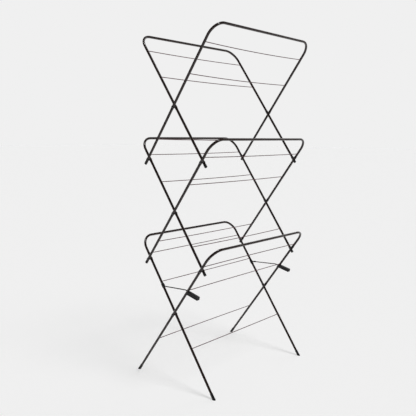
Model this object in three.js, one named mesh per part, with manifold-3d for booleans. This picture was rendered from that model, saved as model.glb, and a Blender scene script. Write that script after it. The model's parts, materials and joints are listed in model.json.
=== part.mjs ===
// Folding three-tier clothes airer: six bent-tube frames crossed in pairs like lazy tongs.
// Millimetres. +X along the rails, -Y the front, +Z up; the feet stand on z = 0 about the origin.
import * as THREE from "three";
import { mergeVertices } from "three/addons/utils/BufferGeometryUtils.js";
import Module from "manifold-3d";

const wasm = await Module();
wasm.setup();

// Driving dimensions. Distances "along a leg" are counted from the frame's centre pivot, up positive.
const GAP = 0.3; // clearance between pieces that touch
const OUTER_WIDTH = 640; // leg to leg, on the frames whose rails are at the front
const INNER_WIDTH = 608; // leg to leg, on the frames whose rails are at the back
const LEG_TILT = THREE.MathUtils.degToRad(35.8); // each leg from the vertical, airer open
const ARM = 263; // centre pivot to tier pivot
const TOP_BAR_AT = 372; // centre pivot to top bar
const FOOT_AT = 375; // centre pivot to the floor, along a leg of the lowest tier
const LEG_TAIL = 24; // how far an upper frame's leg runs past its tier pivot
const TUBE_RADIUS = 5;
const TUBE_BORE = 4;
const CORNER_RADIUS = 58;
const CORNER_STEPS = 5;
const TUBE_SIDES = 10;
const BORE_SIDES = 6;
const WIRE_RADIUS = 1.5;
const WIRE_SIDES = 6;
const WIRES_AT = [288, 152, -157];
const RIVET_RADIUS = 2.9;
const RIVET_HEAD_RADIUS = 5;
const RIVET_HEAD = 1.8;
const RIVET_DOME = 0.6; // the flat on top of a head, as a share of its radius
const ROUND_SIDES = 8; // rivets, stays and the holes they turn in
const STAY_AT = 133; // where the lock stays turn on the back legs
const STAY_RADIUS = 1.7;
const STAY_RUN = 144; // from the stay's pivot to its knee
const STAY_CLIMB = THREE.MathUtils.degToRad(4.4); // that run above the horizontal
const STAY_DROOP = THREE.MathUtils.degToRad(12.4); // the hand grip below the horizontal
const STAY_BEND = 3;
const STAY_BEND_STEPS = 3;
const STAY_IN_GRIP = 24; // from the front leg's centre line to the wire's end
const STAY_STUB = 1.5; // the bent-in end, past the clip
const GRIP_LENGTH = 62; // from the front leg's centre line
const GRIP_BACK = 4;
const GRIP_ABOVE = 4.5;
const GRIP_BELOW = 10.5;
const GRIP_OUTBOARD = 4.6; // from the middle of the front leg out to the grip's face
const GRIP_CORNER = 2;
const GRIP_EDGE = 1.2;
const GRIP_WALL = 0.7; // inboard of the stay's socket
const CLIP_RADIUS = 7.3;
const CLIP_LENGTH = 20;
const CLIP_MOUTH = THREE.MathUtils.degToRad(50); // half of its open sector
const FOOT_RADIUS = 7;
const FOOT_HEIGHT = 26;
const FOOT_SOLE = 13; // from the floor to the tube's end
const CAP_RADIUS = 6.1;
const CAP_LENGTH = 13;
const CAP_END = 1.8; // closed end of a leg cap
const CUP_EDGE = 0.8;
const CUP_SIDES = 10;
const CUTTER_SIZE = 60;

const RISE = ARM * Math.cos(LEG_TILT);
const REACH = ARM * Math.sin(LEG_TILT);
const LOWEST_CENTRE = FOOT_AT * Math.cos(LEG_TILT);
const RIVET_X = (OUTER_WIDTH + INNER_WIDTH) / 4;
const TUBE_PITCH = (OUTER_WIDTH - INNER_WIDTH) / 2;
const SIDES = { left: -1, right: 1 };

// Each frame: its tier, the way its rails lean (-1 front, 1 back), and its wires' sag at mid-span.
const FRAMES = [
  { name: "lower_front", tier: 0, lean: -1, sag: -2 },
  { name: "lower_back", tier: 0, lean: 1, sag: 0.5 },
  { name: "middle_back", tier: 1, lean: 1, sag: 2.5 },
  { name: "middle_front", tier: 1, lean: -1, sag: 2.5 },
  { name: "upper_back", tier: 2, lean: 1, sag: 4 },
  { name: "upper_front", tier: 2, lean: -1, sag: 5 },
];

const finishes = {
  frame: { color: 0x2b2a2b, roughness: 0.32, metalness: 0.4 },
  wire: { color: 0x3a3638, roughness: 0.35, metalness: 0.4 },
  plastic: { color: 0x111112, roughness: 0.55, metalness: 0 },
  rivet: { color: 0x35343a, roughness: 0.3, metalness: 0.8 },
};

function mesh(name, geometry, finish) {
  const made = new THREE.Mesh(geometry, new THREE.MeshStandardMaterial(finishes[finish]));
  made.name = name;
  return made;
}

// A path given by its stations and the direction at each, so that straight runs cost one step.
class StationPath extends THREE.Curve {
  constructor(stations) {
    super();
    this.stations = stations;
  }

  stationAt(u) {
    return this.stations[Math.round(u * (this.stations.length - 1))];
  }

  getPointAt(u, target = new THREE.Vector3()) {
    return target.copy(this.stationAt(u).point);
  }

  getTangentAt(u, target = new THREE.Vector3()) {
    return target.copy(this.stationAt(u).tangent);
  }
}

// Straight runs between the given corners, joined by arcs of one radius.
function bentPath(corners, radius, bendSteps) {
  const heading = corners.slice(1).map((corner, i) => corner.clone().sub(corners[i]).normalize());
  const stations = [{ point: corners[0], tangent: heading[0] }];
  for (let i = 1; i < corners.length - 1; i++) {
    const before = heading[i - 1];
    const after = heading[i];
    const turn = before.angleTo(after);
    const axis = before.clone().cross(after).normalize();
    const start = corners[i].clone().addScaledVector(before, -radius * Math.tan(turn / 2));
    const centre = axis.clone().cross(before).multiplyScalar(radius).add(start);
    for (let k = 0; k <= bendSteps; k++) {
      const swing = (turn * k) / bendSteps;
      const point = start.clone().sub(centre).applyAxisAngle(axis, swing).add(centre);
      stations.push({ point, tangent: before.clone().applyAxisAngle(axis, swing) });
    }
  }
  stations.push({ point: corners.at(-1), tangent: heading.at(-1) });
  return new StationPath(stations);
}

function polygon(radius, sides) {
  const points = [];
  for (let i = 0; i < sides; i++) {
    const angle = (2 * Math.PI * (i + 0.5)) / sides;
    points.push(new THREE.Vector2(radius * Math.cos(angle), radius * Math.sin(angle)));
  }
  return points;
}

function sweep(path, radius, sides, bore = 0) {
  const section = new THREE.Shape(polygon(radius, sides));
  if (bore > 0) section.holes.push(new THREE.Path(polygon(bore, BORE_SIDES).reverse()));
  const steps = path.stations.length - 1;
  return new THREE.ExtrudeGeometry(section, { steps, extrudePath: path });
}

function toSolid(geometry) {
  const bare = new THREE.BufferGeometry();
  bare.setAttribute("position", geometry.getAttribute("position"));
  if (geometry.index) bare.setIndex(geometry.index);
  const merged = mergeVertices(bare, 1e-3);
  const vertProperties = merged.attributes.position.array;
  const triVerts = new Uint32Array(merged.index.array);
  return new wasm.Manifold(new wasm.Mesh({ numProp: 3, vertProperties, triVerts }));
}

function toGeometry(solid) {
  const { vertProperties, triVerts } = solid.getMesh();
  const geometry = new THREE.BufferGeometry();
  geometry.setAttribute("position", new THREE.BufferAttribute(vertProperties, 3));
  geometry.setIndex(new THREE.BufferAttribute(triVerts, 1));
  geometry.computeVertexNormals();
  return geometry;
}

// The geometry with each cutter taken out of it.
function cut(geometry, cutters) {
  return toGeometry(cutters.reduce((left, cutter) => left.subtract(toSolid(cutter)), toSolid(geometry)));
}

function crosswiseHole(radius, x, along) {
  const length = 4 * TUBE_RADIUS;
  const cylinder = new THREE.CylinderGeometry(radius, radius, length, ROUND_SIDES);
  return cylinder.rotateZ(Math.PI / 2).translate(x, 0, along);
}

function widthOf(frame) {
  return frame.lean < 0 ? OUTER_WIDTH : INNER_WIDTH;
}

function isLowest(frame) {
  return frame.tier === 0;
}

// Where a frame's tube is cut off, above its foot or inside its leg cap.
function tubeEnd(frame) {
  return isLowest(frame) ? FOOT_SOLE - FOOT_AT : CAP_END + GAP - ARM - LEG_TAIL;
}

// The U of bent tube, in the frame's own plane: X along the rails, Z up the legs.
function frameTube(frame) {
  const half = widthOf(frame) / 2;
  const end = tubeEnd(frame);
  const corners = [
    new THREE.Vector3(-half, 0, end),
    new THREE.Vector3(-half, 0, TOP_BAR_AT),
    new THREE.Vector3(half, 0, TOP_BAR_AT),
    new THREE.Vector3(half, 0, end),
  ];
  const tube = sweep(bentPath(corners, CORNER_RADIUS, CORNER_STEPS), TUBE_RADIUS, TUBE_SIDES, TUBE_BORE);
  const pivots = [0];
  if (frame.tier < 2) pivots.push(ARM);
  if (!isLowest(frame)) pivots.push(-ARM);
  const holes = [];
  for (const side of Object.values(SIDES)) {
    for (const along of pivots) holes.push(crosswiseHole(RIVET_RADIUS + GAP, side * half, along));
    if (frame.name === "lower_back") holes.push(crosswiseHole(STAY_RADIUS + GAP, side * half, STAY_AT));
  }
  return mesh(`${frame.name}_frame`, cut(tube, holes), "frame");
}

// A thin rail between the two legs, with a slight bow in the plane of its frame.
function wireRail(frame, along, number) {
  const steps = 6;
  const half = widthOf(frame) / 2 - TUBE_RADIUS - GAP;
  const stations = [];
  for (let i = 0; i <= steps; i++) {
    const t = (2 * i) / steps - 1;
    const point = new THREE.Vector3(t * half, 0, along - frame.sag * (1 - t * t));
    const tangent = new THREE.Vector3(half, 0, 2 * t * frame.sag).normalize();
    stations.push({ point, tangent });
  }
  const rail = sweep(new StationPath(stations), WIRE_RADIUS, WIRE_SIDES);
  return mesh(`${frame.name}_wire_${number}`, rail, "wire");
}

// A cup standing on its closed end at z = 0, mouth up.
function cup(outer, inner, height, bottom) {
  const profile = [
    new THREE.Vector2(0, 0),
    new THREE.Vector2(outer - CUP_EDGE, 0),
    new THREE.Vector2(outer, CUP_EDGE),
    new THREE.Vector2(outer, height),
    new THREE.Vector2(inner, height),
    new THREE.Vector2(inner, bottom),
    new THREE.Vector2(0, bottom),
  ];
  return new THREE.LatheGeometry(profile, CUP_SIDES).rotateX(Math.PI / 2);
}

// The foot under a leg of the lowest tier, sliced level so that it stands flat on the floor.
function foot(frame, side) {
  const below = 8; // how far the uncut cup reaches past the floor
  const height = FOOT_HEIGHT + below;
  const bottom = tubeEnd(frame) - GAP + FOOT_AT + below;
  const blank = cup(FOOT_RADIUS, TUBE_RADIUS + GAP, height, bottom).translate(0, 0, -FOOT_AT - below);
  const floor = new THREE.BoxGeometry(CUTTER_SIZE, CUTTER_SIZE, CUTTER_SIZE);
  floor.translate(0, 0, -CUTTER_SIZE / 2).rotateX(frame.lean * LEG_TILT).translate(0, 0, -FOOT_AT);
  const made = mesh(`${frame.name}_foot_${side}`, cut(blank, [floor]), "plastic");
  made.position.x = (SIDES[side] * widthOf(frame)) / 2;
  return made;
}

// The cap on an upper frame's leg, just past its tier pivot.
function legCap(frame, side) {
  const shell = cup(CAP_RADIUS, TUBE_RADIUS + GAP, CAP_LENGTH, CAP_END);
  const made = mesh(`${frame.name}_cap_${side}`, shell, "plastic");
  made.position.set((SIDES[side] * widthOf(frame)) / 2, 0, -ARM - LEG_TAIL);
  return made;
}

// A pivot rivet along X through both tubes, with the collar that keeps them apart.
function rivet(name, side) {
  const collar = TUBE_PITCH / 2 - TUBE_RADIUS - GAP;
  const underHead = TUBE_PITCH / 2 + TUBE_RADIUS + GAP;
  const half = [
    new THREE.Vector2(RIVET_HEAD_RADIUS, collar),
    new THREE.Vector2(RIVET_RADIUS, collar),
    new THREE.Vector2(RIVET_RADIUS, underHead),
    new THREE.Vector2(RIVET_HEAD_RADIUS, underHead),
    new THREE.Vector2(RIVET_DOME * RIVET_HEAD_RADIUS, underHead + RIVET_HEAD),
    new THREE.Vector2(0, underHead + RIVET_HEAD),
  ];
  const mirrored = half.map((point) => new THREE.Vector2(point.x, -point.y)).reverse();
  const geometry = new THREE.LatheGeometry([...mirrored, ...half], ROUND_SIDES).rotateZ(-Math.PI / 2);
  const made = mesh(`${name}_rivet_${side}`, geometry, "rivet");
  made.position.x = SIDES[side] * RIVET_X;
  return made;
}

function pivot(name, y, z) {
  const group = new THREE.Group();
  for (const side of Object.keys(SIDES)) group.add(rivet(name, side));
  group.position.set(0, y, z);
  return group;
}

// A stay runs from its pivot on the back leg to a knee short of the front leg, then droops into its grip.
// Its own frame: origin at the pivot, X outboard, Y towards the back, Z up.
const KNEE = new THREE.Vector3(0, -STAY_RUN * Math.cos(STAY_CLIMB), STAY_RUN * Math.sin(STAY_CLIMB));
const DROOP = new THREE.Vector3(0, -Math.cos(STAY_DROOP), -Math.sin(STAY_DROOP));
const LEG_SLANT = LEG_TILT - STAY_DROOP; // the front leg off the square across the grip
const KNEE_OFF_LEG = STAY_AT * Math.sin(2 * LEG_TILT) - STAY_RUN * Math.cos(LEG_TILT + STAY_CLIMB);
const GRIP_ORIGIN = KNEE.clone().addScaledVector(DROOP, KNEE_OFF_LEG / Math.cos(LEG_SLANT));

function stayPath(extra) {
  const inboard = -(TUBE_PITCH / 2) - CLIP_RADIUS - STAY_STUB;
  const corners = [
    new THREE.Vector3(inboard - extra, 0, 0),
    new THREE.Vector3(0, 0, 0),
    KNEE,
    GRIP_ORIGIN.clone().addScaledVector(DROOP, STAY_IN_GRIP + extra),
  ];
  return bentPath(corners, STAY_BEND, STAY_BEND_STEPS);
}

function stayWire(side) {
  return mesh(`lock_stay_wire_${side}`, sweep(stayPath(0), STAY_RADIUS, ROUND_SIDES), "wire");
}

// The grip's side outline, along the droop and up across it, its back end cut parallel to the front leg.
function gripOutline() {
  const top = GRIP_ABOVE;
  const bottom = -GRIP_BELOW;
  const end = GRIP_LENGTH;
  const backAt = (height) => height * Math.tan(LEG_SLANT) - GRIP_BACK;
  const outline = new THREE.Shape();
  outline.moveTo(backAt(bottom), bottom);
  outline.lineTo(end - GRIP_CORNER, bottom);
  outline.quadraticCurveTo(end, bottom, end, bottom + GRIP_CORNER);
  outline.lineTo(end, top - GRIP_CORNER);
  outline.quadraticCurveTo(end, top, end - GRIP_CORNER, top);
  outline.lineTo(backAt(top), top);
  outline.closePath();
  return outline;
}

// The half-round seat for the front leg, open on the outboard side.
function legSeat() {
  const seat = TUBE_RADIUS + GAP;
  const channel = new THREE.Shape();
  channel.absarc(0, 0, seat, Math.PI, 2 * Math.PI, false);
  channel.lineTo(seat, CUTTER_SIZE);
  channel.lineTo(-seat, CUTTER_SIZE);
  channel.closePath();
  const depth = CUTTER_SIZE;
  const slot = new THREE.ExtrudeGeometry(channel, { depth, bevelEnabled: false, curveSegments: 5 });
  slot.rotateZ(-Math.PI / 2).translate(TUBE_PITCH / 2, 0, -depth / 2).rotateX(LEG_TILT);
  return slot.translate(0, GRIP_ORIGIN.y, GRIP_ORIGIN.z);
}

// The moulded hand grip: a slim bar with rounded edges that hooks on the front leg.
function stayGrip(side) {
  const inboard = STAY_RADIUS + GAP + GRIP_WALL;
  const outboard = TUBE_PITCH / 2 + GRIP_OUTBOARD;
  const depth = inboard + outboard - 2 * GRIP_EDGE;
  const edge = GRIP_EDGE;
  const bevel = { bevelThickness: edge, bevelSize: edge, bevelOffset: -edge, bevelSegments: 1 };
  const block = new THREE.ExtrudeGeometry(gripOutline(), { depth, curveSegments: 3, ...bevel });
  const upward = new THREE.Vector3(0, -Math.sin(STAY_DROOP), Math.cos(STAY_DROOP));
  block.applyMatrix4(new THREE.Matrix4().makeBasis(DROOP, upward, new THREE.Vector3(-1, 0, 0)));
  block.translate(outboard - GRIP_EDGE, GRIP_ORIGIN.y, GRIP_ORIGIN.z);
  const socket = sweep(stayPath(GAP), STAY_RADIUS + GAP, ROUND_SIDES);
  return mesh(`lock_stay_grip_${side}`, cut(block, [legSeat(), socket]), "plastic");
}

function stay(side) {
  const group = new THREE.Group();
  group.add(stayWire(side), stayGrip(side));
  group.position.x = SIDES[side] * RIVET_X;
  group.scale.x = SIDES[side];
  return group;
}

// The clip round a back leg that keeps the stay's bent end in its hole, open on the outboard side.
function stayClip(side) {
  const ring = new THREE.Shape();
  ring.absarc(0, 0, CLIP_RADIUS, CLIP_MOUTH, 2 * Math.PI - CLIP_MOUTH, false);
  ring.absarc(0, 0, TUBE_RADIUS + GAP, 2 * Math.PI - CLIP_MOUTH, CLIP_MOUTH, true);
  ring.closePath();
  const depth = CLIP_LENGTH;
  const blank = new THREE.ExtrudeGeometry(ring, { depth, bevelEnabled: false, curveSegments: 9 });
  blank.translate(0, 0, -depth / 2);
  const geometry = cut(blank, [crosswiseHole(STAY_RADIUS + GAP, 0, 0)]);
  const made = mesh(`lock_stay_clip_${side}`, geometry, "plastic");
  made.position.set((SIDES[side] * INNER_WIDTH) / 2, 0, STAY_AT);
  made.scale.x = SIDES[side];
  return made;
}

const airer = new THREE.Group();

for (const frame of FRAMES) {
  const group = new THREE.Group();
  group.position.z = LOWEST_CENTRE + 2 * RISE * frame.tier;
  group.rotation.x = -frame.lean * LEG_TILT;
  group.add(frameTube(frame));
  WIRES_AT.forEach((along, i) => group.add(wireRail(frame, along, i + 1)));
  const legEnd = isLowest(frame) ? foot : legCap;
  for (const side of Object.keys(SIDES)) group.add(legEnd(frame, side));
  if (frame.name === "lower_back") {
    for (const side of Object.keys(SIDES)) group.add(stayClip(side));
  }
  airer.add(group);
}

["lower", "middle", "upper"].forEach((tier, i) => {
  airer.add(pivot(`${tier}_centre`, 0, LOWEST_CENTRE + 2 * RISE * i));
});

["lower", "upper"].forEach((tier, i) => {
  const height = LOWEST_CENTRE + RISE * (2 * i + 1);
  airer.add(pivot(`${tier}_tier_front`, -REACH, height), pivot(`${tier}_tier_back`, REACH, height));
});

for (const side of Object.keys(SIDES)) {
  const lock = stay(side);
  lock.position.y = STAY_AT * Math.sin(LEG_TILT);
  lock.position.z = LOWEST_CENTRE + STAY_AT * Math.cos(LEG_TILT);
  airer.add(lock);
}

export default airer;
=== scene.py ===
"""Looks of the folding three-tier clothes airer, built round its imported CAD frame. Metres, +Z up."""

import json
import math

import bmesh
import bpy
from mathutils import Matrix, Quaternion, Vector


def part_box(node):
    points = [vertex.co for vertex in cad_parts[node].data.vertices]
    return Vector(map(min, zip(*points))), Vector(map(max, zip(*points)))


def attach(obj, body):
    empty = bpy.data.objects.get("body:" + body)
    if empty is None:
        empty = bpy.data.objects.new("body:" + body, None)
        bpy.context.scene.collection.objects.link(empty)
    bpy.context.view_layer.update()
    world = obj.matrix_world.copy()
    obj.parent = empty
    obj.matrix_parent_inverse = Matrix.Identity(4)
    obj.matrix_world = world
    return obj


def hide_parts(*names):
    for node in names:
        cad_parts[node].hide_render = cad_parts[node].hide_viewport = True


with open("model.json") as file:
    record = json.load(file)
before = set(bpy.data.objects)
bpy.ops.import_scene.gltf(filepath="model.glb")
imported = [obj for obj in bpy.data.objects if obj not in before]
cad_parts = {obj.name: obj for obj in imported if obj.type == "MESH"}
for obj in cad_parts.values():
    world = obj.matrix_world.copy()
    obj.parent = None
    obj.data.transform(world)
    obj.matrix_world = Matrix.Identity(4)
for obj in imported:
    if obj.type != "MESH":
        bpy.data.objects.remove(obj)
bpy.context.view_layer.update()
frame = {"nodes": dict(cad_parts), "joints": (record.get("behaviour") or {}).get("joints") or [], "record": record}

SIDES = {"left": -1, "right": 1}
TIERS = ("lower", "middle", "upper")
JUNCTIONS = ("lower_tier", "upper_tier")  # where one tier stands on the next
RIGHT = Vector((1, 0, 0))
JOINTS = {joint["name"]: joint for joint in frame["joints"]}
BODY_OF = {}
for body, members in frame["record"]["behaviour"]["bodies"].items():
    for member in members:
        BODY_OF[member] = body

# Sections and details, in metres. TUBE, WIRE and STAY are bare radii, and the coats lie on them.
TUBE = 0.005
WIRE = 0.0015
STAY = 0.0017
TUBE_COAT = 0.0002
WIRE_COAT = 0.0001
STAY_COAT = 0.0005  # dipped, so thicker
CORNER = 0.058  # centreline radius of the tube's bends
FLAT_HALF = 0.0075  # half the length of a crimp
FLAT_FADE = 0.0065  # where the crimp runs out into the round tube
FLAT_THICK = 0.0034  # half the thickness of a crimped tube
TUBE_SIDES = 32
WIRE_SIDES = 16
WELD = 0.0026  # radius of a weld where it meets the tube
SHEATH = 0.0004  # how far a foot or cap reaches in over the tube's bare radius


def joint_at(name):
    return Vector(JOINTS[name]["pos_m"])


# The linkage, read off the joints: legs cross at the centres, tiers meet at the arm's ends.
CENTRES = [joint_at("fold"), joint_at("middle_cross_pivot"), joint_at("upper_cross_pivot")]
TIER_PIVOT = joint_at("lower_tier_front_pivot") - CENTRES[0]
TILT = math.atan2(-TIER_PIVOT.y, TIER_PIVOT.z)
ARM = math.hypot(TIER_PIVOT.y, TIER_PIVOT.z)
STAY_PIVOT = joint_at("right_stay_pivot")
STAY_AT = math.hypot(STAY_PIVOT.y, STAY_PIVOT.z - CENTRES[0].z)


class Frame:
    """One bent-tube frame: where it is, how it leans and how far it reaches, from its CAD box."""

    def __init__(self, name, tier, lean):
        low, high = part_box(f"{name}_frame")
        self.name = name
        self.lowest = tier == 0
        self.centre = CENTRES[tier]
        self.up = Vector((0, lean * math.sin(TILT), math.cos(TILT)))
        self.across = Vector((0, -lean * math.cos(TILT), math.sin(TILT)))
        self.half = high.x - TUBE
        self.top = (high.z - TUBE - self.centre.z) / math.cos(TILT)
        self.end = -(self.centre.z - low.z - TUBE * math.sin(TILT)) / math.cos(TILT)
        self.pivots = [0.0]
        if tier < len(TIERS) - 1:
            self.pivots.append(ARM)
        if not self.lowest:
            self.pivots.append(-ARM)

    def at(self, x, along, out=0.0):
        """A place by its x, its distance up the leg from the centre pivot, and out of the frame's plane."""
        return self.centre + Vector((x, 0, 0)) + self.up * along + self.across * out


FRAMES = [
    Frame("lower_front", 0, -1),
    Frame("lower_back", 0, 1),
    Frame("middle_back", 1, 1),
    Frame("middle_front", 1, -1),
    Frame("upper_back", 2, 1),
    Frame("upper_front", 2, -1),
]


# ---------------------------------------------------------------- camera, light and floor

WHITE = (1, 1, 1, 1)
CAMERA_AT = Vector((-1.8185, -1.5730, 1.0514))
HEADING = math.radians(47.36)  # from +Y towards +X
LOOK_DOWN = math.radians(7.78)
ROLL = math.radians(0.46)
LENS = 46.65
SENSOR = 36.0
FARTHEST = 60  # the camera's clip end
BACKGROUND = 0.871  # linear value of the plain pale ground
DOME = 0.05
PANEL = 1.7  # the broad soft panel: its strength, where it is, and the angles over which it fades out
PANEL_FROM = Vector((0.93, 0.15, 0.32)).normalized()
PANEL_INNER = math.radians(10)
PANEL_OUTER = math.radians(34)
KEY_FROM = Vector((0.083, -0.54, 0.83)).normalized()
KEY_STRENGTH = 2.2
KEY_ANGLE = math.radians(24)
GLINT_FROM = Vector((0.05, -0.18, 0.98)).normalized()
GLINT_STRENGTH = 1.6
GLINT_ANGLE = math.radians(10)
FLOOR_HALF = 40
FLOOR_ALBEDO = 0.50
FLOOR_GLOW = 0.503  # with what it reflects, this brings the floor to BACKGROUND


def make_camera():
    level = Vector((math.sin(HEADING), math.cos(HEADING), 0))
    forward = level * math.cos(LOOK_DOWN) - Vector((0, 0, math.sin(LOOK_DOWN)))
    right = Vector((math.cos(HEADING), -math.sin(HEADING), 0))
    up = right.cross(forward)
    rolled_right = right * math.cos(ROLL) + up * math.sin(ROLL)
    rolled_up = up * math.cos(ROLL) - right * math.sin(ROLL)
    data = bpy.data.cameras.new("camera")
    data.lens = LENS
    data.sensor_width = SENSOR
    data.clip_end = FARTHEST
    camera = bpy.data.objects.new("camera", data)
    bpy.context.scene.collection.objects.link(camera)
    turn = Matrix((rolled_right, rolled_up, -forward)).transposed()
    camera.matrix_world = Matrix.Translation(CAMERA_AT) @ turn.to_4x4()
    bpy.context.scene.camera = camera


def node(tree, kind, **values):
    made = tree.nodes.new(kind)
    for key, value in values.items():
        setattr(made, key, value)
    return made


def make_world():
    """A dim dome with one broad soft panel, and an even ground for what the camera sees past the object."""
    world = bpy.data.worlds.new("studio")
    bpy.context.scene.world = world
    world.use_nodes = True
    tree = world.node_tree
    tree.nodes.clear()
    coords = node(tree, "ShaderNodeTexCoord")
    facing = node(tree, "ShaderNodeVectorMath", operation="DOT_PRODUCT")
    facing.inputs[1].default_value = PANEL_FROM
    tree.links.new(coords.outputs["Generated"], facing.inputs[0])
    spread = node(tree, "ShaderNodeMapRange", interpolation_type="SMOOTHSTEP")
    spread.inputs["From Min"].default_value = math.cos(PANEL_OUTER)
    spread.inputs["From Max"].default_value = math.cos(PANEL_INNER)
    spread.inputs["To Min"].default_value = DOME
    spread.inputs["To Max"].default_value = PANEL
    tree.links.new(facing.outputs["Value"], spread.inputs["Value"])
    light = node(tree, "ShaderNodeBackground")
    light.inputs["Color"].default_value = WHITE
    tree.links.new(spread.outputs["Result"], light.inputs["Strength"])
    ground = node(tree, "ShaderNodeBackground")
    ground.inputs["Color"].default_value = (BACKGROUND, BACKGROUND, BACKGROUND, 1)
    path = node(tree, "ShaderNodeLightPath")
    mix = node(tree, "ShaderNodeMixShader")
    tree.links.new(path.outputs["Is Camera Ray"], mix.inputs["Fac"])
    tree.links.new(light.outputs["Background"], mix.inputs[1])
    tree.links.new(ground.outputs["Background"], mix.inputs[2])
    output = node(tree, "ShaderNodeOutputWorld")
    tree.links.new(mix.outputs["Shader"], output.inputs["Surface"])


def make_light(name, direction, strength, angle):
    data = bpy.data.lights.new(name, "SUN")
    data.energy = strength
    data.angle = angle
    light = bpy.data.objects.new(name, data)
    light.rotation_mode = "QUATERNION"
    light.rotation_quaternion = direction.to_track_quat("Z", "Y")
    bpy.context.scene.collection.objects.link(light)
    return light


def make_lights():
    """A soft key that only lights and shades, and a small lamp behind that only glints in the enamel."""
    key = make_light("key", KEY_FROM, KEY_STRENGTH, KEY_ANGLE)
    key.visible_glossy = False
    glint = make_light("glint", GLINT_FROM, GLINT_STRENGTH, GLINT_ANGLE)
    glint.visible_diffuse = False


def make_floor():
    mesh = bpy.data.meshes.new("floor")
    corners = [(x * FLOOR_HALF, y * FLOOR_HALF, 0) for x, y in ((-1, -1), (1, -1), (1, 1), (-1, 1))]
    mesh.from_pydata(corners, [], [(0, 1, 2, 3)])
    floor = bpy.data.objects.new("floor", mesh)
    bpy.context.scene.collection.objects.link(floor)
    material = bpy.data.materials.new("floor_paint")
    material.use_nodes = True
    shader = material.node_tree.nodes["Principled BSDF"]
    shader.inputs["Base Color"].default_value = (FLOOR_ALBEDO, FLOOR_ALBEDO, FLOOR_ALBEDO, 1)
    shader.inputs["Roughness"].default_value = 1.0
    shader.inputs["Specular IOR Level"].default_value = 0.0
    shader.inputs["Emission Color"].default_value = WHITE
    shader.inputs["Emission Strength"].default_value = FLOOR_GLOW
    mesh.materials.append(material)


# ---------------------------------------------------------------- materials

NOISE_LOW = 0.3  # nearly all of a noise lies between these
NOISE_HIGH = 0.7


def noise(tree, coords, scale, detail=3.0, roughness=0.5):
    made = node(tree, "ShaderNodeTexNoise")
    made.inputs["Scale"].default_value = scale
    made.inputs["Detail"].default_value = detail
    made.inputs["Roughness"].default_value = roughness
    tree.links.new(coords, made.inputs["Vector"])
    return made.outputs["Fac"]


def ramp_of(tree, value, stops):
    made = node(tree, "ShaderNodeValToRGB")
    ramp = made.color_ramp
    while len(ramp.elements) < len(stops):
        ramp.elements.new(0.5)
    for element, (position, color) in zip(ramp.elements, stops):
        element.position = position
        element.color = (*color, 1)
    tree.links.new(value, made.inputs["Fac"])
    return made.outputs["Color"]


def span(tree, value, low, high):
    """Stretches a noise's usual range over low to high."""
    made = node(tree, "ShaderNodeMapRange")
    made.inputs["From Min"].default_value = NOISE_LOW
    made.inputs["From Max"].default_value = NOISE_HIGH
    made.inputs["To Min"].default_value = low
    made.inputs["To Max"].default_value = high
    tree.links.new(value, made.inputs["Value"])
    return made.outputs["Result"]


def bump(tree, height, distance, strength, before=None):
    made = node(tree, "ShaderNodeBump")
    made.inputs["Distance"].default_value = distance
    made.inputs["Strength"].default_value = strength
    tree.links.new(height, made.inputs["Height"])
    if before is not None:
        tree.links.new(before, made.inputs["Normal"])
    return made.outputs["Normal"]


def new_material(name, metallic, specular=0.5, coat=0.0, coat_roughness=0.1):
    material = bpy.data.materials.new(name)
    material.use_nodes = True
    tree = material.node_tree
    shader = tree.nodes["Principled BSDF"]
    shader.inputs["Metallic"].default_value = metallic
    shader.inputs["Specular IOR Level"].default_value = specular
    shader.inputs["Coat Weight"].default_value = coat
    shader.inputs["Coat Roughness"].default_value = coat_roughness
    coords = node(tree, "ShaderNodeTexCoord").outputs["Object"]
    return material, tree, shader, coords


def enamel(name, dark, light, rough_low, rough_high, speck):
    """Stoved enamel: a deep even coat with orange peel, faint dust specks and slow changes of gloss."""
    material, tree, shader, coords = new_material(name, 0.0, specular=0.32, coat=0.2, coat_roughness=0.12)
    slow = noise(tree, coords, scale=14, detail=4)
    peel = noise(tree, coords, scale=900, detail=2)
    dust = noise(tree, coords, scale=2600, detail=1)
    tree.links.new(ramp_of(tree, slow, [(NOISE_LOW, dark), (NOISE_HIGH, light)]), shader.inputs["Base Color"])
    tree.links.new(span(tree, slow, rough_low, rough_high), shader.inputs["Roughness"])
    peeled = bump(tree, peel, distance=0.00005, strength=0.25)
    specked = bump(tree, dust, distance=0.00001, strength=speck, before=peeled)
    tree.links.new(specked, shader.inputs["Normal"])
    return material


def moulded(name, dark, light):
    """Moulded plastic with a fine spark-eroded grain and slightly uneven gloss."""
    material, tree, shader, coords = new_material(name, 0.0, specular=0.3)
    slow = noise(tree, coords, scale=60, detail=3)
    grain = noise(tree, coords, scale=3200, detail=2, roughness=0.7)
    tree.links.new(ramp_of(tree, slow, [(NOISE_LOW, dark), (NOISE_HIGH, light)]), shader.inputs["Base Color"])
    tree.links.new(span(tree, slow, low=0.42, high=0.55), shader.inputs["Roughness"])
    tree.links.new(bump(tree, grain, distance=0.00005, strength=0.5), shader.inputs["Normal"])
    return material


def plated(name, dark, light):
    """Dark plated steel with turning marks and rubbed spots."""
    material, tree, shader, coords = new_material(name, 0.9)
    slow = noise(tree, coords, scale=220, detail=4)
    marks = noise(tree, coords, scale=4000, detail=2)
    tree.links.new(ramp_of(tree, slow, [(0.35, dark), (0.65, light)]), shader.inputs["Base Color"])
    tree.links.new(span(tree, slow, low=0.25, high=0.42), shader.inputs["Roughness"])
    tree.links.new(bump(tree, marks, distance=0.00003, strength=0.4), shader.inputs["Normal"])
    return material


# ---------------------------------------------------------------- mesh building


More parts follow.
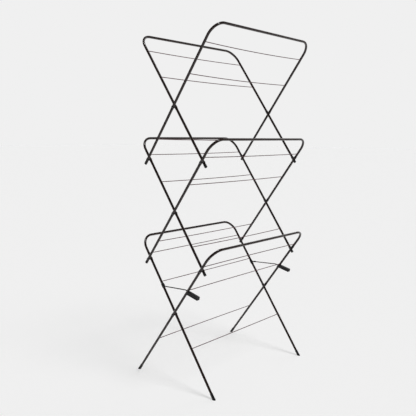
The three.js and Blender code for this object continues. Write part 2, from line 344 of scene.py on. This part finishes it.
def piece(name, data, material, slot, body, *nodes, sharp=40):
    """An object from finished mesh data, standing for its CAD nodes and riding on their body."""
    data.materials.append(material)
    data.polygons.foreach_set("use_smooth", [True] * len(data.polygons))
    data.set_sharp_from_angle(angle=math.radians(sharp))
    made = bpy.data.objects.new(name, data)
    bpy.context.scene.collection.objects.link(made)
    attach(made, body)
    if nodes:
        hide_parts(*nodes)
    return made


def skin(name, rings):
    """A closed surface through rings of equal count, with its ends filled."""
    bm = bmesh.new()
    count = len(rings[0])
    layers = [[bm.verts.new(point) for point in ring] for ring in rings]
    for lower, upper in zip(layers, layers[1:]):
        for i in range(count):
            j = (i + 1) % count
            bm.faces.new((lower[i], lower[j], upper[j], upper[i]))
    bm.faces.new(list(reversed(layers[0])))
    bm.faces.new(layers[-1])
    bmesh.ops.recalc_face_normals(bm, faces=bm.faces)
    data = bpy.data.meshes.new(name)
    bm.to_mesh(data)
    bm.free()
    return data


def ring_round(centre, first, second, radius, sides):
    points = []
    for i in range(sides):
        angle = 2 * math.pi * i / sides
        points.append(centre + first * (radius * math.cos(angle)) + second * (radius * math.sin(angle)))
    return points


def lathe(name, profile, origin, axis, sides=32):
    """A solid of revolution: profile points are (radius, distance along the axis), ends closed."""
    axis = axis.normalized()
    first = axis.orthogonal().normalized()
    second = axis.cross(first)
    rings = []
    for radius, along in profile:
        rings.append(ring_round(origin + axis * along, first, second, radius, sides))
    return skin(name, rings)


def arc(centre_r, centre_z, radius, start, end, steps):
    """Profile points of a rounded edge, angles in degrees from the outward radial direction."""
    points = []
    for k in range(steps + 1):
        angle = math.radians(start + (end - start) * k / steps)
        points.append((centre_r + radius * math.cos(angle), centre_z + radius * math.sin(angle)))
    return points


# ---------------------------------------------------------------- tubes

LEG_STEPS = 24
BEND_STEPS = 22
CRIMP_STEPS = 18
CRIMP_CLEAR = 0.004  # a plain section keeps this far from a crimp's own sections
CRIMP_POWER = 5  # how squarely the tube's sides are pressed flat
CRIMP_FIT = 1.08  # makes up for what that rounding takes off
CRIMP_SPREAD = 0.17  # how much wider the tube is where it is pressed
BEND_OVAL = 0.03  # how much a bend is squeezed half-way round
SAME_PLACE = 1e-5


def smooth(t):
    t = max(0.0, min(1.0, t))
    return t * t * (3 - 2 * t)


def crimp(frame_, along):
    """How flat the tube is at a place on its leg: 1 in the middle of a crimp, 0 where the tube is round."""
    most = 0.0
    for at in frame_.pivots:
        most = max(most, smooth(1 - (abs(along - at) - FLAT_HALF) / FLAT_FADE))
    return most


def tube_ring(centre, inward, across, flat, oval=0.0):
    """One section of tube. inward lies in the frame's plane; a crimp squeezes the section along it."""
    points = []
    for i in range(TUBE_SIDES):
        angle = 2 * math.pi * i / TUBE_SIDES
        u = (TUBE + TUBE_COAT) * math.cos(angle)
        v = (TUBE + TUBE_COAT) * math.sin(angle)
        pressed = u / (1 + (abs(u) / FLAT_THICK) ** CRIMP_POWER) ** (1 / CRIMP_POWER)
        u = u + flat * (pressed * CRIMP_FIT - u)
        v = v * (1 + CRIMP_SPREAD * flat)
        points.append(centre + inward * (u * (1 - oval)) + across * (v * (1 + oval)))
    return points


def leg_stations(frame_):
    """Places up a leg, close together where the tube is crimped."""
    low = frame_.end
    high = frame_.top - CORNER
    places = {low, high}
    reach = FLAT_HALF + FLAT_FADE
    for at in frame_.pivots:
        for k in range(CRIMP_STEPS + 1):
            places.add(at - reach + 2 * reach * k / CRIMP_STEPS)
    for k in range(1, LEG_STEPS):
        place = low + (high - low) * k / LEG_STEPS
        if all(abs(place - at) > reach + CRIMP_CLEAR for at in frame_.pivots):
            places.add(place)
    return sorted(places)


def bend_rings(frame_, side):
    """The sections round one corner, from the left end of the bend to the right."""
    rings = []
    for k in range(BEND_STEPS + 1):
        turn = math.pi / 2 * k / BEND_STEPS
        if side > 0:
            turn = math.pi / 2 - turn
        out = RIGHT * (side * math.cos(turn)) + frame_.up * math.sin(turn)
        place = frame_.at(side * (frame_.half - CORNER), frame_.top - CORNER) + out * CORNER
        rings.append(tube_ring(place, -out, frame_.across, 0, BEND_OVAL * math.sin(2 * turn)))
    return rings


def without_repeats(rings):
    """The rings, leaving out each that lies on the one before it."""
    quarter = TUBE_SIDES // 4
    kept = [rings[0]]
    for ring in rings[1:]:
        moved = max((ring[i] - kept[-1][i]).length for i in (0, quarter))
        if moved > SAME_PLACE:
            kept.append(ring)
    return kept


def make_tube(frame_, material):
    """The bent tube in one skin: up the left leg, round both corners and down the right leg."""
    name = f"{frame_.name}_tube"
    node_name = f"{frame_.name}_frame"
    stations = leg_stations(frame_)
    rings = []
    for along in stations:
        rings.append(tube_ring(frame_.at(-frame_.half, along), RIGHT, frame_.across, crimp(frame_, along)))
    rings += bend_rings(frame_, -1)
    rings += bend_rings(frame_, 1)
    for along in reversed(stations):
        rings.append(tube_ring(frame_.at(frame_.half, along), -RIGHT, frame_.across, crimp(frame_, along)))
    data = skin(name, without_repeats(rings))
    return piece(name, data, material, "frame_paint", BODY_OF[node_name], node_name)


# ---------------------------------------------------------------- wire rails

WIRE_STEPS = 28
WIRE_SLICE = 0.002  # half the width of the slice in which a CAD wire's middle is found
MID_SLICE = 0.01
WELD_IN = 0.82  # a wire ends this share of the tube's radius from its centre line
WELD_FADE = 0.0008
WELD_PLACES = (0.0004, 0.0009, 0.0015, 0.0022, 0.0032)  # sections close to the tube's wall


def slice_centre(node_name, x, tolerance):
    """The middle of a CAD wire's vertices near one x."""
    vertices = [v.co for v in frame["nodes"][node_name].data.vertices if abs(v.co.x - x) < tolerance]
    return sum((Vector(v) for v in vertices), Vector()) / len(vertices)


def make_wire(frame_, number, material):
    """A rail with its slight bow, flaring into a weld at each tube."""
    node_name = f"{frame_.name}_wire_{number}"
    _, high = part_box(node_name)
    end = slice_centre(node_name, high.x, WIRE_SLICE)
    middle = slice_centre(node_name, 0.0, MID_SLICE)
    bow = middle - end
    bow.x = 0
    inside = frame_.half - TUBE * WELD_IN
    wall = frame_.half - TUBE
    places = {inside * math.sin(math.pi / 2 * (2 * k / WIRE_STEPS - 1)) for k in range(WIRE_STEPS + 1)}
    for near in WELD_PLACES:
        places |= {wall - near, near - wall}
    rings = []
    for x in sorted(places):
        flare = math.exp(-max(wall - abs(x), 0) / WELD_FADE)
        radius = WIRE + WIRE_COAT + (WELD - WIRE) * flare
        share = 1 - (x / high.x) ** 2
        centre = Vector((x, end.y, end.z)) + bow * max(share, 0)
        rings.append(ring_round(centre, frame_.up, frame_.across, radius, WIRE_SIDES))
    body = BODY_OF[node_name]
    return piece(node_name + "_rail", skin(node_name, rings), material, "wire_coating", body, node_name)


# ---------------------------------------------------------------- feet and caps

FOOT_MOUTH = 0.026  # up the leg from the floor
FOOT_WALL = 0.0008
FOOT_SIDES = 40
SOLE_EDGE = 0.0008
CAP_WALL = 0.0009
CAP_MOUTH = 0.011  # up the leg from its end
CAP_END = -0.0015  # its closed end, past the leg's
CAP_ROUND = 0.0022
CAP_SIDES = 36
FLUSH = 1e-6


def foot_profile(wide):
    """From the mouth down: a rolled lip, a fine ridge, a slow flare, and a skirt on past the floor."""
    neck = TUBE + FOOT_WALL
    mouth = FOOT_MOUTH
    profile = [(TUBE - SHEATH, mouth - 0.0006)]
    profile += arc(neck - 0.0003, mouth - 0.0009, 0.0009, 90, 0, 6)
    profile += [(neck, mouth - 0.0035), (neck, mouth - 0.0045)]
    profile += arc(neck - 0.0001, mouth - 0.0055, 0.0004, 60, -60, 4)
    profile += [(neck, mouth - 0.008), (neck + 0.0002, 0.008)]
    profile += [(wide * 0.985, 0.003), (wide, -0.001), (wide, -0.006), (wide, -0.010)]
    return profile


def cut_sole(data):
    """Cuts a foot off level at the floor and rounds the rim of its sole."""
    bm = bmesh.new()
    bm.from_mesh(data)
    everything = bm.verts[:] + bm.edges[:] + bm.faces[:]
    floor = {"plane_co": (0, 0, 0), "plane_no": (0, 0, -1)}
    cut = bmesh.ops.bisect_plane(bm, geom=everything, clear_outer=True, **floor)
    rim = [item for item in cut["geom_cut"] if isinstance(item, bmesh.types.BMEdge)]
    bmesh.ops.contextual_create(bm, geom=rim)
    sole = [edge for edge in bm.edges if all(abs(v.co.z) < FLUSH for v in edge.verts)]
    bmesh.ops.bevel(bm, geom=sole, offset=SOLE_EDGE, segments=3, affect="EDGES", profile=0.5)
    bmesh.ops.recalc_face_normals(bm, faces=bm.faces)
    bm.to_mesh(data)
    bm.free()


def make_foot(frame_, side, material):
    """A push-on foot, a little wider at the floor, with a rolled lip and a level sole."""
    node_name = f"{frame_.name}_foot_{side}"
    low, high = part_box(node_name)
    floor_at = -frame_.centre.z / math.cos(TILT)
    origin = frame_.at((high.x + low.x) / 2, floor_at)
    data = lathe(node_name, foot_profile((high.x - low.x) / 2), origin, frame_.up, FOOT_SIDES)
    cut_sole(data)
    return piece(node_name + "_shoe", data, material, "black_plastic", BODY_OF[node_name], node_name)


def make_cap(frame_, side, material):
    """A thin domed cap on a leg that stops just below its tier pivot."""
    node_name = f"{frame_.name}_cap_{side}"
    low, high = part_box(node_name)
    wide = TUBE + CAP_WALL
    profile = [(0.0004, CAP_END - 0.0003)]
    profile += arc(wide - CAP_ROUND, CAP_END + 0.0019, CAP_ROUND, -90, 0, 8)
    profile += [(wide, CAP_MOUTH - 0.0010)]
    profile += arc(wide - 0.0006, CAP_MOUTH - 0.0005, 0.0006, 0, 90, 5)
    profile += [(TUBE - SHEATH, CAP_MOUTH)]
    origin = frame_.at((high.x + low.x) / 2, frame_.end)
    data = lathe(node_name, profile, origin, frame_.up, CAP_SIDES)
    return piece(node_name + "_dome", data, material, "black_plastic", BODY_OF[node_name], node_name)


# ---------------------------------------------------------------- rivets

SHANK = 0.0032  # radii
COLLAR = 0.0045
WASHER = 0.0054
HEAD = 0.0041
WASHER_THICK = 0.0009
HEAD_RIM = 0.0003
DOME_RADIUS = 0.0040
DOME_RISE = 0.0017
DOME_ANGLES = (5, 20, 35, 50, 65, 80)
RIVET_SIDES = 28


def half_rivet(collar, face):
    """Out from the middle: half the collar, the shank in the tube, the washer and the domed head."""
    top = face + WASHER_THICK
    crown = top + HEAD_RIM
    half = [(COLLAR, 0.0002), (COLLAR, collar - 0.0003), (COLLAR - 0.0003, collar)]
    half += [(SHANK, collar - 0.0006), (SHANK, face)]
    half += [(WASHER - 0.0002, face), (WASHER, face + 0.0002), (WASHER, top - 0.0002), (WASHER - 0.0002, top)]
    half += [(HEAD, top), (HEAD, crown)]
    for angle in DOME_ANGLES:
        turn = math.radians(angle)
        half.append((DOME_RADIUS * math.cos(turn), crown + DOME_RISE * math.sin(turn)))
    half.append((0.0002, crown + DOME_RISE))
    return half


def make_rivet(name, side, material):
    """A domed rivet with a washer under each head and a collar between the two crimped tubes."""
    node_name = f"{name}_rivet_{side}"
    low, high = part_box(node_name)
    pitch = FRAMES[0].half - FRAMES[1].half
    half = half_rivet(pitch / 2 - FLAT_THICK, pitch / 2 + FLAT_THICK)
    other_half = [(radius, -along) for radius, along in reversed(half)]
    data = lathe(node_name, other_half + half, (low + high) / 2, RIGHT, RIVET_SIDES)
    return piece(node_name + "_set", data, material, "rivet_steel", BODY_OF[node_name], node_name)


# ---------------------------------------------------------------- lock stays

STAY_RUN = 0.144  # pivot to knee
STAY_CLIMB = math.radians(4.4)  # the run above the horizontal
STAY_BEND = 0.003
STAY_BEND_STEPS = 12
STAY_IN_GRIP = 0.024
BAR_END = 0.0003  # a round bar's end is drawn in over this length, to this share of its radius
BAR_TIP = 0.7
DROOP = math.radians(12.4)  # the grip below the horizontal
GRIP_LENGTH = 0.062  # from the front leg's centre line
GRIP_BACK = 0.004
GRIP_TOP = 0.0045  # above and below the line from the knee
GRIP_BOTTOM = 0.0105
GRIP_CORNER = 0.0024
GRIP_CORNER_STEPS = 8
LEAST_CORNER = 0.0006
GRIP_EDGE = 0.0014  # the rounding between the grip's side and its edge
GRIP_EDGE_STEPS = 6
PANEL_BACK = 0.0128  # the sunk panel starts this far along, clear of the leg's seat
PANEL_STEPS = ((0.0009, 0.0034), (0.0008, 0.0027), (0.0002, 0.0023), (0.0, 0.0020))  # depth, inset
RIBS = 7
RIB = 0.0008
RIB_SIDES = 12
FIRST_RIB = 0.0205
RIB_PITCH = 0.0052
RIB_DEPTH = 0.0010  # of a rib's centre line below the grip's side
RIB_INSET = 0.0032  # from the grip's top and bottom
SEAT_GAP = 0.0003
SEAT_REACH = 0.03  # how far the cutter for the leg's seat runs each way
SEAT_STEPS = 16
BUSH = 0.0033
BUSH_AT = 0.0080  # from the stay's pivot
BUSH_LENGTH = 0.0115
BUSH_OFF = 0.0009
BUSH_EDGE = 0.0007
BUSH_SIDES = 28
CLIP_HALF = 0.010
CLIP_INNER = 0.0004  # its inner and outer walls, outside the tube's bare radius
CLIP_OUTER = 0.0020
CLIP_MOUTH = math.radians(52)  # half of its open sector
CLIP_STEPS = 36
CLIP_LIP_STEPS = 3  # over which the sleeve thins out to the mouth
CLIP_LIP = 0.55  # the thickness left there, as a share
CLIP_DRAW = 0.06  # how much the sleeve's length follows its thickness


def bent_line(corners, radius, steps):
    """Points and headings along straight runs joined by arcs."""
    heading = [(b - a).normalized() for a, b in zip(corners, corners[1:])]
    stations = [(corners[0], heading[0])]
    for i in range(1, len(corners) - 1):
        before, after = heading[i - 1], heading[i]
        turn = before.angle(after)
        axis = before.cross(after).normalized()
        start = corners[i] - before * (radius * math.tan(turn / 2))
        centre = start + axis.cross(before) * radius
        for k in range(steps + 1):
            swing = Quaternion(axis, turn * k / steps)
            stations.append((centre + swing @ (start - centre), swing @ before))
    stations.append((corners[-1], heading[-1]))
    return stations


def swept(name, stations, radius, sides):
    """A round bar along stations, its sections carried along without twist, its ends slightly rounded."""
    first = stations[0][1].orthogonal().normalized()
    rings = []
    last = len(stations) - 1
    for i, (point, heading) in enumerate(stations):
        first = (first - heading * first.dot(heading)).normalized()
        second = heading.cross(first)
        if i == 0:
            rings.append(ring_round(point - heading * BAR_END, first, second, radius * BAR_TIP, sides))
        rings.append(ring_round(point, first, second, radius, sides))
        if i == last:
            rings.append(ring_round(point + heading * BAR_END, first, second, radius * BAR_TIP, sides))
    return skin(name, rings)


def on_side(point, side):
    """A point of the right-hand stay, or its like on the left."""
    return Vector((SIDES[side] * abs(point.x), point.y, point.z))


def stay_line():
    """The right stay's knee, where its grip meets the front leg's centre line, and the grip's two axes."""
    knee = STAY_PIVOT + Vector((0, -math.cos(STAY_CLIMB), math.sin(STAY_CLIMB))) * STAY_RUN
    along = Vector((0, -math.cos(DROOP), -math.sin(DROOP)))
    upward = Vector((0, -math.sin(DROOP), math.cos(DROOP)))
    leg = FRAMES[0]
    off = (knee - leg.centre).dot(leg.across)
    return knee, knee - along * (off / along.dot(leg.across)), along, upward


def make_stay_wire(side, material):
    node_name = f"lock_stay_wire_{side}"
    low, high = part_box(node_name)
    inner = min(abs(low.x), abs(high.x)) * SIDES[side]
    knee, root, along, _ = stay_line()
    corners = [
        Vector((inner, STAY_PIVOT.y, STAY_PIVOT.z)),
        on_side(STAY_PIVOT, side),
        on_side(knee, side),
        on_side(root, side) + along * STAY_IN_GRIP,
    ]
    line = bent_line(corners, STAY_BEND, STAY_BEND_STEPS)
    data = swept(node_name, line, STAY + STAY_COAT, WIRE_SIDES)
    return piece(node_name + "_rod", data, material, "wire_coating", BODY_OF[node_name], node_name)


def make_stay_bush(side, material):
    """The short black bush on the stay by its pivot, thicker on the side away from the back leg."""
    knee, _, _, _ = stay_line()
    heading = (knee - STAY_PIVOT).normalized()
    start = on_side(STAY_PIVOT + heading * BUSH_AT + RIGHT * BUSH_OFF, side)
    bore = STAY - 0.0002
    shoulder = BUSH - BUSH_EDGE
    straight = 0.0030
    profile = [(bore, 0.0), (shoulder, 0.0)]
    profile += arc(shoulder, BUSH_EDGE, BUSH_EDGE, -90, 0, 5)
    profile += [(BUSH, straight), (BUSH, BUSH_LENGTH - straight)]
    profile += arc(shoulder, BUSH_LENGTH - BUSH_EDGE, BUSH_EDGE, 0, 90, 5)
    profile += [(bore, BUSH_LENGTH)]
    name = f"lock_stay_bush_{side}"
    data = lathe(name, profile, start, heading, BUSH_SIDES)
    return piece(name, data, material, "black_plastic", f"{side}_stay")


def outline(inset, back):
    """The grip's side outline as (along, up) points, pulled in by inset, its back end parallel to the leg."""
    low = -GRIP_BOTTOM + inset
    high = GRIP_TOP - inset
    end = GRIP_LENGTH - inset
    radius = max(GRIP_CORNER - inset, LEAST_CORNER)
    slant = math.tan(TILT - DROOP)
    rear = inset + back - GRIP_BACK
    points = [(low * slant + rear, low)]
    for centre_u, start in ((low + radius, 270), (high - radius, 0)):
        points += arc(end - radius, centre_u, radius, start, start + 90, GRIP_CORNER_STEPS)
    points.append((high * slant + rear, high))
    return points


def join_meshes(target, others, operation):
    """Applies exact booleans of other meshes to target's mesh and returns the result's data."""
    host = bpy.data.objects.new("host", target)
    bpy.context.scene.collection.objects.link(host)
    helpers = []
    for data in others:
        helper = bpy.data.objects.new("helper", data)
        bpy.context.scene.collection.objects.link(helper)
        modifier = host.modifiers.new("cut", "BOOLEAN")
        modifier.operation = operation
        modifier.solver = "EXACT"
        modifier.object = helper
        helpers.append(helper)
    graph = bpy.context.evaluated_depsgraph_get()
    made = bpy.data.meshes.new_from_object(host.evaluated_get(graph))
    for extra in [host, *helpers]:
        bpy.data.objects.remove(extra)
    return made


def grip_layers(inner, outer):
    """From the inboard side to the outboard: (x, inset, back) of each outline of the grip."""
    sunk = [(depth, inset, PANEL_BACK) for depth, inset in PANEL_STEPS]
    edge = []
    for k in range(GRIP_EDGE_STEPS + 1):
        turn = math.pi / 2 * k / GRIP_EDGE_STEPS
        edge.append((GRIP_EDGE * (1 - math.sin(turn)), GRIP_EDGE * (1 - math.cos(turn)), 0.0))
    layers = [(inner + depth, inset, back) for depth, inset, back in sunk + edge[::-1]]
    layers += [(outer - depth, inset, back) for depth, inset, back in edge + sunk[::-1]]
    return layers


def grip_ribs(sides, sign, origin, along, upward):
    """Upright ribs across the sunk panels. sides are (x, way in) of the grip's two faces."""
    ribs = []
    for k in range(RIBS):
        for face, way in sides:
            foot = origin + RIGHT * (sign * (face + way * RIB_DEPTH)) + along * (FIRST_RIB + RIB_PITCH * k)
            start = foot + upward * (RIB_INSET - GRIP_BOTTOM)
            end = foot + upward * (GRIP_TOP - RIB_INSET)
            ribs.append(swept("rib", [(start, upward), (end, upward)], RIB, RIB_SIDES))
    return ribs


def leg_seat(sign, root):
    """The cutter for the channel in the grip where the front leg lies: half round, and open to the front."""
    leg = FRAMES[0]
    seat = TUBE + SEAT_GAP
    corners = [(SEAT_REACH, seat)]
    for k in range(SEAT_STEPS + 1):
        turn = math.pi * k / SEAT_STEPS
        corners.append((-seat * math.sin(turn), seat * math.cos(turn)))
    corners.append((SEAT_REACH, -seat))
    centre = leg.at(sign * leg.half, (root - leg.centre).dot(leg.up))
    ends = []
    for step in (-SEAT_REACH, SEAT_REACH):
        ends.append([centre + leg.up * step + RIGHT * (sign * x) + leg.across * y for x, y in corners])
    return skin("channel", ends)


def make_grip(side, material):
    """The hand grip: a slim moulded bar with a rim, a sunk ribbed panel and a seat for the front leg."""
    node_name = f"lock_stay_grip_{side}"
    low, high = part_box(node_name)
    sign = SIDES[side]
    inner = min(abs(low.x), abs(high.x))
    outer = max(abs(low.x), abs(high.x))
    _, root, along, upward = stay_line()
    origin = Vector((0, root.y, root.z))
    rings = []
    for x, inset, back in grip_layers(inner, outer):
        rings.append([origin + RIGHT * (sign * x) + along * a + upward * u for a, u in outline(inset, back)])
    body = skin(node_name, rings)
    body = join_meshes(body, grip_ribs(((inner, 1), (outer, -1)), sign, origin, along, upward), "UNION")
    body = join_meshes(body, [leg_seat(sign, root)], "DIFFERENCE")
    name = node_name + "_moulding"
    return piece(name, body, material, "black_plastic", BODY_OF[node_name], node_name, sharp=32)


def clip_section():
    """The sleeve's wall in section: (along, radius) points with rounded ends."""
    thin = TUBE + CLIP_INNER
    thick = TUBE + CLIP_OUTER
    half = CLIP_HALF
    lower = [(-half + 0.0006, thin), (-half, thin + 0.0006), (-half, thick - 0.0009), (-half + 0.0009, thick)]
    return lower + [(-along, radius) for along, radius in reversed(lower)]


def make_clip(side, material):
    """The clip round the back leg: an open sleeve with rolled ends, thinner at its mouth."""
    node_name = f"lock_stay_clip_{side}"
    leg = FRAMES[1]
    sign = SIDES[side]
    middle = TUBE + (CLIP_INNER + CLIP_OUTER) / 2
    rings = []
    for k in range(CLIP_STEPS + 1):
        angle = CLIP_MOUTH + 2 * (math.pi - CLIP_MOUTH) * k / CLIP_STEPS
        out = RIGHT * (sign * math.cos(angle)) + leg.across * math.sin(angle)
        full = smooth(min(k, CLIP_STEPS - k) / CLIP_LIP_STEPS)
        thickness = CLIP_LIP + (1 - CLIP_LIP) * full
        length = 1 - CLIP_DRAW + CLIP_DRAW * thickness
        ring = []
        for along, radius in clip_section():
            place = leg.at(sign * leg.half, STAY_AT + along * length)
            ring.append(place + out * (middle + (radius - middle) * thickness))
        rings.append(ring)
    name = node_name + "_sleeve"
    return piece(name, skin(node_name, rings), material, "black_plastic", BODY_OF[node_name], node_name)


# ---------------------------------------------------------------- the airer

make_camera()
make_world()
make_lights()
make_floor()
bpy.context.scene.view_settings.view_transform = "Standard"

frame_paint = enamel("frame_enamel", (0.0130, 0.0060, 0.0046), (0.0200, 0.0100, 0.0080), 0.2, 0.3, 0.2)
wire_paint = enamel("wire_enamel", (0.065, 0.016, 0.021), (0.090, 0.024, 0.030), 0.28, 0.38, 0.3)
stay_paint = enamel("stay_enamel", (0.010, 0.006, 0.006), (0.018, 0.010, 0.010), 0.3, 0.4, 0.3)
plastic = moulded("moulded_black", (0.008, 0.008, 0.009), (0.014, 0.014, 0.015))
rivet_steel = plated("dark_plate", (0.05, 0.05, 0.055), (0.11, 0.11, 0.115))

for frame_ in FRAMES:
    make_tube(frame_, frame_paint)
    for number in (1, 2, 3):
        make_wire(frame_, number, wire_paint)
    for side in SIDES:
        if frame_.lowest:
            make_foot(frame_, side, plastic)
        else:
            make_cap(frame_, side, plastic)

for side in SIDES:
    for tier in TIERS:
        make_rivet(f"{tier}_centre", side, rivet_steel)
    for junction in JUNCTIONS:
        make_rivet(f"{junction}_front", side, rivet_steel)
        make_rivet(f"{junction}_back", side, rivet_steel)
    make_stay_wire(side, stay_paint)
    make_stay_bush(side, plastic)
    make_grip(side, plastic)
    make_clip(side, plastic)
